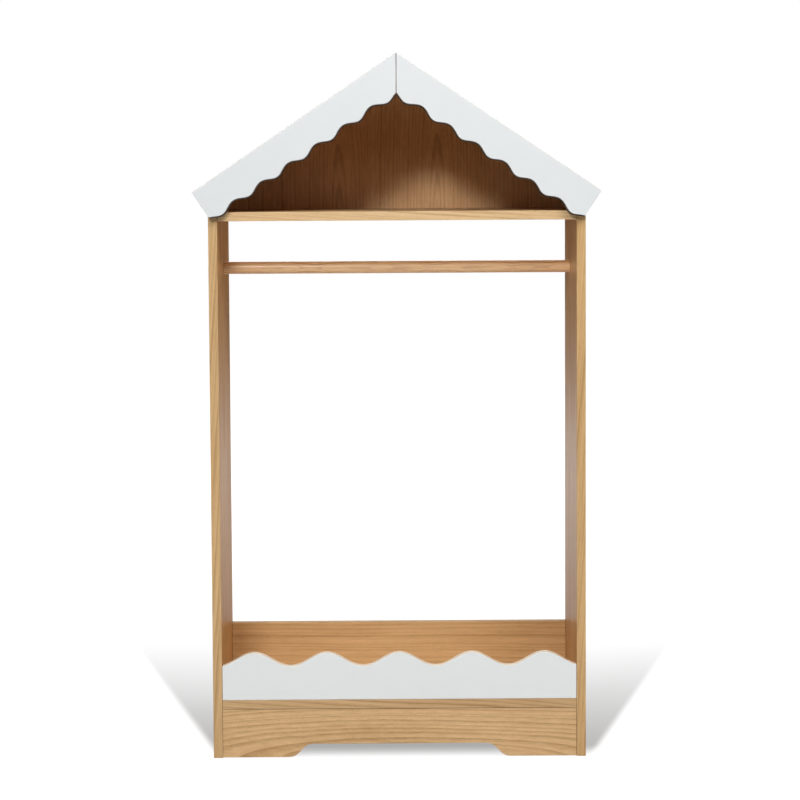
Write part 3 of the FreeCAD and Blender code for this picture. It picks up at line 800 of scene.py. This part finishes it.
def fastener_tree():
    """Threaded fasteners with a recessed head, one on every point, heads towards the point's axis."""
    head_sizes = ("Head", "Head Height", "Head Foot", "Rim", "Recess", "Recess Waist", "Recess Depth")
    shank_sizes = ("Length", "Shank", "Plain", "Tip", "Thread Pitch", "Thread Depth")
    kinds = dict.fromkeys((*head_sizes, *shank_sizes), "Float")
    graph, given = geometry_tree("fasteners", {**kinds, "Recess Points": "Int", "Material": "Material"})
    half = given["Length"] / 2
    step = given["Thread Pitch"] / THREAD_STEPS
    line = stepped(graph, upright_line(graph, half, 0.0 - half), step)
    _, _, z = graph.split(graph.add("GeometryNodeInputPosition"))
    depth = half - z
    above_rim = (1 - depth / given["Rim"]).at_least(0.0)
    inset = given["Rim"] * (1 - (1 - above_rim * above_rim) ** 0.5)
    taper = (given["Head Foot"] - given["Head"]) * depth / given["Head Height"]
    head = (given["Head"] + taper) / 2 - inset
    ridge = abs(2 * (depth / given["Thread Pitch"]).fraction() - 1)
    threaded = depth.above(given["Head Height"] + given["Plain"])
    shank = given["Shank"] / 2 - threaded * ridge * given["Thread Depth"]
    point = ((given["Length"] - depth) / given["Tip"]).at_most(1.0).at_least(SCREW_TIP)
    in_head = (given["Head Height"] - step).above(depth)
    radius = in_head * head + (1 - in_head) * shank * point
    values = {"Resolution": SHANK_SIDES, "Radius": 1.0}
    circle = graph.add("GeometryNodeCurvePrimitiveCircle", {"mode": "RADIUS"}, values, "Curve")
    turned = swept(graph, line, circle, radius)
    profile = star(graph, given["Recess Points"], given["Recess Waist"], given["Recess"])
    drive = upright_line(graph, half - given["Recess Depth"], half + given["Recess Depth"])
    finished = creased(graph, cut_away(graph, turned, swept(graph, drive, profile)))
    close_tree(graph, set_along_axis(graph, given["Geometry"], finished), given["Material"])
    return graph.tree


# Pieces from trees

def point_object(name, found):
    """An object of loose points, one for each fitting, with its axis and its size."""
    mesh = bpy.data.meshes.new(name)
    mesh.from_pydata([f.middle for f in found], [], [])
    axes = mesh.attributes.new("axis", "FLOAT_VECTOR", "POINT")
    axes.data.foreach_set("vector", np.array([f.axis for f in found], np.float32).ravel())
    sizes = mesh.attributes.new("size", "FLOAT_VECTOR", "POINT")
    boxes = [(f.shank, f.shank, f.length) for f in found]
    sizes.data.foreach_set("vector", np.array(boxes, np.float32).ravel())
    made = bpy.data.objects.new(name, mesh)
    bpy.context.scene.collection.objects.link(made)
    return made


def add_tree(piece, tree, values):
    """A geometry tree on a piece, with its inputs set by name."""
    modifier = piece.modifiers.new(tree.name, "NODES")
    modifier.node_group = tree
    for item in tree.interface.items_tree:
        if item.in_out == "INPUT" and item.name in values:
            modifier[item.identifier] = values[item.name]


def settle(piece):
    """The evaluated shape as the piece's own plain mesh, with no modifiers left."""
    depsgraph = bpy.context.evaluated_depsgraph_get()
    mesh = bpy.data.meshes.new_from_object(piece.evaluated_get(depsgraph), depsgraph=depsgraph)
    piece.modifiers.clear()
    piece.data = mesh
    mesh.name = piece.name
    return piece


def stand_for(piece, slot, *nodes):
    """A finished piece rides on the wardrobe and stands for its nodes. The slot is not used."""
    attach(piece, BODY)
    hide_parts(*nodes)


def nodes_in(slot):
    """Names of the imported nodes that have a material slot."""
    return [part["node"] for part in frame["record"]["subparts"] if part["material_slot"] == slot]


def dress(node, material):
    """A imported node's own finish."""
    frame["nodes"][node].data.materials[0] = material


def middle_of(node):
    """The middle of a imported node's box."""
    low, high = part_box(node)
    return (low + high) / 2


# Boards, bands and rail

# How each board was cut: heart, turn, ring and sway, then what differs from a plain cut
CUTS = {
    # Painted light: the side panels' tones differ, the left warmer, to stand in for light on their inner
    # faces
    "left_side_panel": Cut(
        (-0.05, -0.03, 0.2), (1.5, 1.0, 0), 0.008, 0.02, tone=(1.11, 0.955, 0.785), gloss=0.05
    ),
    "right_side_panel": Cut(
        (0.05, 0.03, -0.1), (-1.4, -1.0, 0), 0.008, 0.02, tone=(1.06, 0.945, 0.825), gloss=0.23
    ),
    "upper_shelf": Cut((0.1, 0.02, -0.05), (0, 90, 2), 0.008, 0.02),
    "base_shelf": Cut((-0.1, -0.03, 0.06), (0, 90, -2), 0.008, 0.02),
    "front_plinth": Cut((0.06, -0.009, -0.055), (0, 90, 7), 0.0082, 0.016, 0.53, (1.10, 1.09, 1.10)),
    "back_board": Cut((-0.2, 0.10, -0.13), (0, 89.4, 1), 0.0075, 0.010, 0.44, (1.10, 1.05, 1.00)),
    "gable_back": Cut(
        (0.085, -0.009, -0.14), (6, 0.3, 0), 0.0065, 0.008, 0.40, (1.20, 1.10, 1.08), gloss=0.5
    ),
    "left_roof_board": Cut((0.04, 0.03, -0.05), (0, 57, 1), 0.008, 0.02),
    "right_roof_board": Cut((-0.04, -0.04, -0.06), (0, -57, -1), 0.008, 0.02),
}
# The gable's second leaf: its cut, and the place along X below which it lies
GABLE_LEAF = (Cut((-0.12, -0.009, -0.16), (6, -0.5, 0), 0.0065, 0.008, tone=(1.18, 1.0, 0.95)), -0.059)
# Painted light: the rail's wood is kept pale, with a low shade, to stand in for light it lacks under the
# shelf
RAIL_CUT = Cut(
    (0.05, 0.10, 0.0), (0, 90, 0.5), 0.0042, 0.032, 1.05, reach=0.19, shade=-0.21, gloss=0.8
)
DOWEL_CUT = Cut((0, 0, 0), (0, 90, 0), 0.002, 0.004)
BAND_CUT = Cut((0.05, 0.05, 0.05), (0, 0, 0), 0.006, 0.014)
BAND_STEP = Vector((0.011, 0.007, 0.013))      # from one band's heart to the next band's
BAND_TURNS = ((0, 94, 0), (94, 0, 0), (0, 4, 0))      # for a band along X, Y or Z
SLOPED_TURNS = {"left_roof_rear_band": (0, 59, 0), "right_roof_rear_band": (0, -59, 0)}
BAND_TONES = {
    "upper_shelf_edge_band": (1.16, 1.21, 1.30),
    "base_shelf_edge_band": (0.985, 0.975, 1.0),
    "left_front_edge_band": (1.0, 0.985, 0.96),
    "right_front_edge_band": (1.0, 0.965, 0.88),
}

# Shadow lines of the joints: the ends of a node's box, as an axis and its low or high end
JOINTS = {
    "front_plinth": ((0, 0), (0, 1), (2, 1)),
    "back_board": ((0, 0), (0, 1), (2, 0)),
    "gable_back": ((2, 0),),
    "upper_shelf_edge_band": ((0, 0), (0, 1)),
    "base_shelf_edge_band": ((0, 0), (0, 1), (2, 0)),
}


def joints_of(node):
    """The shadow lines of a node, as an axis and a place along it."""
    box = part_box(node)
    return [(axis, box[end][axis]) for axis, end in JOINTS.get(node, ())]


def laminate_timber(finishes):
    """The wood that is printed on the boards and bands."""
    return Timber(finishes.laminate_pale, finishes.laminate_deep, pores=0.25)


class WARDROBE_OT_laminate_boards(bpy.types.Operator):
    """Wood-print laminate on the side panels, shelves, plinth, back board, gable and roof"""

    bl_idname = "wardrobe.laminate_boards"
    bl_label = "Laminate boards"

    def execute(self, context):
        finishes = context.scene.wardrobe_finishes
        timber = laminate_timber(finishes)
        for node in nodes_in("laminate"):
            leaf = GABLE_LEAF if node == "gable_back" else None
            name = f"laminate_{node}"
            dress(node, wood_material(name, timber, CUTS[node], middle_of(node), joints_of(node), leaf))
        return {"FINISHED"}


class WARDROBE_OT_edge_bands(bpy.types.Operator):
    """Wood-print bands on the edges of the boards"""

    bl_idname = "wardrobe.edge_bands"
    bl_label = "Edge bands"

    def execute(self, context):
        finishes = context.scene.wardrobe_finishes
        timber = laminate_timber(finishes)
        for count, node in enumerate(nodes_in("edge_band")):
            low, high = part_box(node)
            longest = max(range(3), key=lambda axis: high[axis] - low[axis])
            turn = SLOPED_TURNS.get(node, BAND_TURNS[longest])
            heart = Vector(BAND_CUT.heart) + BAND_STEP * count
            cut = replace(BAND_CUT, heart=heart, turn=turn, tone=BAND_TONES.get(node, BAND_CUT.tone))
            dress(node, wood_material(f"band_{node}", timber, cut, middle_of(node), joints_of(node)))
        return {"FINISHED"}


def lacquered_board(name, node, tree, values, bores, sizes, material):
    """A shaped board from its tree, with rounded edges and the bores of its fittings."""
    points = point_object(name + "_bores", bores)
    piece = point_object(name, [])
    add_tree(piece, tree, {**values, "Material": material})
    bevel = piece.modifiers.new("rounding", "BEVEL")
    bevel.limit_method = "ANGLE"
    bevel.angle_limit = BEVEL_LIMIT
    bevel.width = sizes.edge_rounding
    bevel.segments = BEVEL_STEPS
    drilled = {"Bores": points, "Clearance": sizes.bore_clearance, "Material": material}
    add_tree(piece, drill_tree(), drilled)
    normals = piece.modifiers.new("even_shading", "WEIGHTED_NORMAL")
    normals.keep_sharp = True
    settle(piece)
    bpy.data.objects.remove(points)
    stand_for(piece, "white_lacquer", node)


class WARDROBE_OT_wave_guard(bpy.types.Operator):
    """Lacquered guard with a wavy top"""

    bl_idname = "wardrobe.wave_guard"
    bl_label = "Wave guard"

    def execute(self, context):
        sizes = context.scene.wardrobe_sizes
        low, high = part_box("wave_guard")
        values = {
            "Reach": high.x,
            "Foot": low.z,
            "Middle": high.z - sizes.wave_swing,
            "Swing": sizes.wave_swing,
            "Pitch": sizes.wave_pitch,
            "Rear": high.y,
            "Thickness": high.y - low.y,
            "Steps": WAVE_STEPS,
        }
        bores = fittings("wave_guard_dowels") + fittings("wave_guard_screws")
        finishes = context.scene.wardrobe_finishes
        # Painted light: the guard's brighter white stands in for light it lacks lower down
        material = lacquer_material("guard_lacquer", finishes.guard_white, finishes)
        lacquered_board("wave_guard_board", "wave_guard", wave_tree(), values, bores, sizes, material)
        return {"FINISHED"}


def low_seam(sizes):
    """How far down the slope the scalloped edge meets the seam at the ridge."""
    slope = sizes.roof_pitch
    along = sizes.fascia_drop * math.tan(slope)
    for _ in range(SEAM_ROUNDS):
        turns = FULL_TURN * (along - sizes.scallop_start) / sizes.scallop_pitch
        share = along / sizes.dip_reach
        dip = sizes.ridge_dip * (1 - share * share * (3 - 2 * share))
        depth = sizes.fascia_drop + sizes.scallop_swing * math.sin(turns) + dip
        along = sizes.ridge_seam / 2 / math.cos(slope) + depth * math.tan(slope)
    return along


class WARDROBE_OT_fascias(bpy.types.Operator):
    """Lacquered fascias with scalloped lower edges"""

    bl_idname = "wardrobe.fascias"
    bl_label = "Fascias"

    def execute(self, context):
        sizes = context.scene.wardrobe_sizes
        finishes = context.scene.wardrobe_finishes
        tree = scallop_tree()
        slope = sizes.roof_pitch
        start = sizes.ridge_seam / 2 / math.cos(slope)
        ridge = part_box("left_fascia")[1].z + start * math.sin(slope)
        # Painted shade along the scallops
        line = partial(scallop_shade_line, sizes=sizes, ridge=ridge)
        material = lacquer_material("fascia_lacquer", finishes.fascia_white, finishes, line)
        for name, side in SIDES.items():
            low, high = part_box(f"{name}_fascia")
            values = {
                "Side": side,
                "Ridge": ridge,
                "Sine": math.sin(slope),
                "Cosine": math.cos(slope),
                "Slope": max(-low.x, high.x) / math.cos(slope),
                "Top Start": start,
                "Low Start": low_seam(sizes),
                "Drop": sizes.fascia_drop,
                "Swing": sizes.scallop_swing,
                "Pitch": sizes.scallop_pitch,
                "Start": sizes.scallop_start,
                "Dip": sizes.ridge_dip,
                "Reach": sizes.dip_reach,
                "Rear": high.y,
                "Thickness": high.y - low.y,
                "Steps": SCALLOP_STEPS,
            }
            near = [f for f in fittings("fascia_dowels") if f.middle[0] * side > 0]
            lacquered_board(f"{name}_fascia_board", f"{name}_fascia", tree, values, near, sizes, material)
        return {"FINISHED"}


class WARDROBE_OT_hanging_rail(bpy.types.Operator):
    """Oiled timber of the hanging rail"""

    bl_idname = "wardrobe.hanging_rail"
    bl_label = "Hanging rail"

    def execute(self, context):
        finishes = context.scene.wardrobe_finishes
        timber = Timber(finishes.rail_pale, finishes.rail_deep, pores=0.15)
        dress("hanging_rail", wood_material("rail_timber", timber, RAIL_CUT, middle_of("hanging_rail")))
        return {"FINISHED"}


class WARDROBE_OT_dowels(bpy.types.Operator):
    """Fluted dowels in the joints"""

    bl_idname = "wardrobe.dowels"
    bl_label = "Dowels"

    def execute(self, context):
        sizes = context.scene.wardrobe_sizes
        finishes = context.scene.wardrobe_finishes
        timber = Timber(finishes.dowel_pale, finishes.dowel_deep, pores=0.2)
        material = wood_material("dowel_wood", timber, DOWEL_CUT, Vector())
        tree = dowel_tree()
        for node in nodes_in("dowel_wood"):
            found = fittings(node)
            piece = point_object(f"{node}_fluted", found)
            values = {
                "Diameter": found[0].shank,
                "Length": found[0].length,
                "Chamfer": sizes.dowel_chamfer,
                "Flute Depth": sizes.flute_depth,
                "Flutes": sizes.flutes,
                "Material": material,
            }
            add_tree(piece, tree, values)
            stand_for(settle(piece), "dowel_wood", node)
        return {"FINISHED"}


class WARDROBE_OT_cams(bpy.types.Operator):
    """Cast cams and the plastic caps over them"""

    bl_idname = "wardrobe.cams"
    bl_label = "Cams and caps"

    def execute(self, context):
        finishes = context.scene.wardrobe_finishes
        looks = {
            "cast_zinc": metal_material("cast_zinc", finishes.cast_zinc, roughness=0.38, grain=0.0005),
            "cap_plastic": plastic_material("cap_plastic", finishes.cap_tan),
        }
        for slot, material in looks.items():
            for node in nodes_in(slot):
                dress(node, material)
        return {"FINISHED"}


# Shapes of the fasteners in metres. The foot of a head is a share of its width.
COUNTERSUNK = {
    "Head Height": 0.002, "Foot Share": 0.5, "Rim": 0.0002, "Plain": 0.012, "Tip": 0.006,
    "Thread Pitch": 0.0016, "Thread Depth": 0.0005,
    "Recess": 0.0026, "Recess Waist": 0.0007, "Recess Depth": 0.0014, "Recess Points": 4,
}
PAN = {
    "Head Height": 0.002, "Foot Share": 1.0, "Rim": 0.0012, "Plain": 0.0, "Tip": 0.004,
    "Thread Pitch": 0.0014, "Thread Depth": 0.0005,
    "Recess": 0.0019, "Recess Waist": 0.0006, "Recess Depth": 0.0011, "Recess Points": 4,
}
SOCKET = {
    "Head Height": 0.0022, "Foot Share": 1.0, "Rim": 0.00073, "Plain": 0.004, "Tip": 0.001,
    "Thread Pitch": 0.001, "Thread Depth": 0.0004,
    "Recess": 0.00231, "Recess Waist": 0.002, "Recess Depth": 0.0014, "Recess Points": 6,
}
CAM_BOLT = {
    "Head Height": 0.0342, "Foot Share": 1.0, "Rim": 0.0006, "Plain": 0.001, "Tip": 0.001,
    "Thread Pitch": 0.0016, "Thread Depth": 0.0006,
    "Recess": 0.0018, "Recess Waist": 0.0006, "Recess Depth": 0.0012, "Recess Points": 4,
}
FASTENERS = {
    "upper_shelf_cam_bolts": CAM_BOLT,
    "base_shelf_cam_bolts": CAM_BOLT,
    "front_plinth_cam_bolts": CAM_BOLT,
    "back_board_cam_bolts": CAM_BOLT,
    "back_board_screws": COUNTERSUNK,
    "wave_guard_screws": COUNTERSUNK,
    "bracket_screws": PAN,
    "rail_bolts": SOCKET,
}


class WARDROBE_OT_fasteners(bpy.types.Operator):
    """Zinc-plated bolts, screws, inserts and brackets"""

    bl_idname = "wardrobe.fasteners"
    bl_label = "Fasteners and brackets"

    def execute(self, context):
        finishes = context.scene.wardrobe_finishes
        plate = metal_material("zinc_plate", finishes.zinc_plate, roughness=0.22, grain=0.0003)
        tree = fastener_tree()
        for node in nodes_in("zinc_steel"):
            if node not in FASTENERS:
                dress(node, plate)
                continue
            shape = FASTENERS[node]
            found = fittings(node)
            first = found[0]
            measured = {
                "Length": first.length,
                "Head": first.head,
                "Head Foot": first.head * shape["Foot Share"],
                "Shank": first.shank,
            }
            piece = point_object(f"{node}_turned", found)
            add_tree(piece, tree, {**shape, **measured, "Material": plate})
            stand_for(settle(piece), "zinc_steel", node)
        return {"FINISHED"}


# Stage

SKY_RISE = (0.2, 0.9)           # sines of the heights in the sky between which its light grows


def studio_world(stage):
    """White to the eye, and light that is stronger overhead than at the horizon."""
    world = bpy.data.worlds.new("studio")
    world.use_nodes = True
    world.node_tree.nodes.clear()
    graph = Graph(world.node_tree)
    _, _, up = graph.split(graph.coordinates("Generated"))
    light = stage.sky_low + (stage.sky_high - stage.sky_low) * up.rise(*SKY_RISE)
    seen = graph.add("ShaderNodeLightPath", {}, {}, "Is Camera Ray")
    strength = seen + (1 - seen) * light
    sky = graph.add("ShaderNodeBackground", {}, {"Color": (1, 1, 1, 1), "Strength": strength})
    graph.add("ShaderNodeOutputWorld", {}, {"Surface": sky})
    bpy.context.scene.world = world


def softbox(name, place, target, width, height, power):
    """A soft rectangular lamp that faces a point and isn't seen itself."""
    lamp = bpy.data.lights.new(name, "AREA")
    lamp.shape = "RECTANGLE"
    lamp.size = width
    lamp.size_y = height
    lamp.energy = power
    holder = bpy.data.objects.new(name, lamp)
    holder.location = place
    holder.rotation_euler = (Vector(target) - Vector(place)).to_track_quat("-Z", "Y").to_euler()
    holder.visible_camera = False
    bpy.context.scene.collection.objects.link(holder)


# Place, target, width and height of each lamp in metres
LAMPS = {
    "top": ((0.9, -2.2, 3.2), (0, 0, 0.9), 1.6, 0.9),
    "key": ((-1.12, -5.04, 3.52), (0, 0, 1.1), 1.1, 0.8),
    "fill": ((1.8, -2.6, 1.2), (0, 0, 0.9), 0.8, 1.2),
    "low": ((-1.8, -2.6, 1.2), (0, 0, 0.9), 0.8, 1.2),
    "rear": ((0, 5.0, 3.2), (0, 5.0, 0), 5.0, 4.0),
    "left": ((-3.2, 0, 1.6), (0, 0, 0.8), 0.4, 1.8),
    "right": ((3.2, 0, 1.6), (0, 0, 0.8), 0.4, 1.8),
}


def studio_floor(scene, stage):
    """A pale floor under and around the wardrobe."""
    side, front, back = stage.floor_side, -stage.floor_front, stage.floor_back
    corners = [(-side, front, 0), (side, front, 0), (side, back, 0), (-side, back, 0)]
    mesh = bpy.data.meshes.new("floor")
    mesh.from_pydata(corners, [], [(0, 1, 2, 3)])
    mesh.materials.append(floor_material(scene.wardrobe_finishes, stage))
    floor = bpy.data.objects.new("floor", mesh)
    scene.collection.objects.link(floor)


def studio_camera(scene, stage):
    """The camera in front of the wardrobe, tilted a little down."""
    lens = bpy.data.cameras.new("camera")
    lens.lens = stage.focal_pixels / IMAGE_WIDTH * lens.sensor_width
    lens.shift_y = -stage.shift_down
    lens.clip_end = VIEW_LIMIT
    camera = bpy.data.objects.new("camera", lens)
    scene.collection.objects.link(camera)
    turn = Matrix.Rotation(-stage.camera_right, 4, "Z")
    turn = turn @ Matrix.Rotation(math.pi / 2 - stage.camera_down, 4, "X")
    turn = turn @ Matrix.Rotation(-stage.camera_roll, 4, "Z")
    camera.matrix_world = Matrix.Translation(stage.camera_place) @ turn
    scene.camera = camera


class WARDROBE_OT_stage(bpy.types.Operator):
    """Pale floor, soft light and the camera"""

    bl_idname = "wardrobe.stage"
    bl_label = "Studio stage"

    def execute(self, context):
        scene = context.scene
        stage = scene.wardrobe_stage
        studio_floor(scene, stage)
        studio_world(stage)
        for name, (place, target, width, height) in LAMPS.items():
            softbox(f"{name}_light", place, target, width, height, getattr(stage, f"{name}_power"))
        scene.view_settings.view_transform = "Standard"
        studio_camera(scene, stage)
        return {"FINISHED"}


class WARDROBE_PT_panel(bpy.types.Panel):
    """Pieces, sizes and finishes of the wardrobe"""

    bl_idname = "WARDROBE_PT_panel"
    bl_label = "Kids wardrobe"
    bl_space_type = "VIEW_3D"
    bl_region_type = "UI"
    bl_category = "Wardrobe"

    def draw(self, context):
        for operator in OPERATORS:
            self.layout.operator(operator.bl_idname)
        for group, holder in GROUPS.items():
            box = self.layout.box()
            for name in group.__annotations__:
                box.prop(getattr(context.scene, holder), name)


GROUPS = {
    WardrobeSizes: "wardrobe_sizes",
    WardrobeFinishes: "wardrobe_finishes",
    WardrobeStage: "wardrobe_stage",
}
OPERATORS = (
    WARDROBE_OT_laminate_boards,
    WARDROBE_OT_edge_bands,
    WARDROBE_OT_wave_guard,
    WARDROBE_OT_fascias,
    WARDROBE_OT_hanging_rail,
    WARDROBE_OT_dowels,
    WARDROBE_OT_cams,
    WARDROBE_OT_fasteners,
    WARDROBE_OT_stage,
)


def register():
    """Adds the groups, operators and panel."""
    for item in (*GROUPS, *OPERATORS, WARDROBE_PT_panel):
        bpy.utils.register_class(item)
    for group, name in GROUPS.items():
        setattr(bpy.types.Scene, name, bpy.props.PointerProperty(type=group))


def unregister():
    """Takes them away again."""
    for name in GROUPS.values():
        delattr(bpy.types.Scene, name)
    for item in (WARDROBE_PT_panel, *reversed(OPERATORS), *GROUPS):
        bpy.utils.unregister_class(item)


def main():
    """Builds every piece in order."""
    register()
    for operator in OPERATORS:
        family, name = operator.bl_idname.split(".")
        getattr(getattr(bpy.ops, family), name)()


if __name__ == "__main__":
    main()
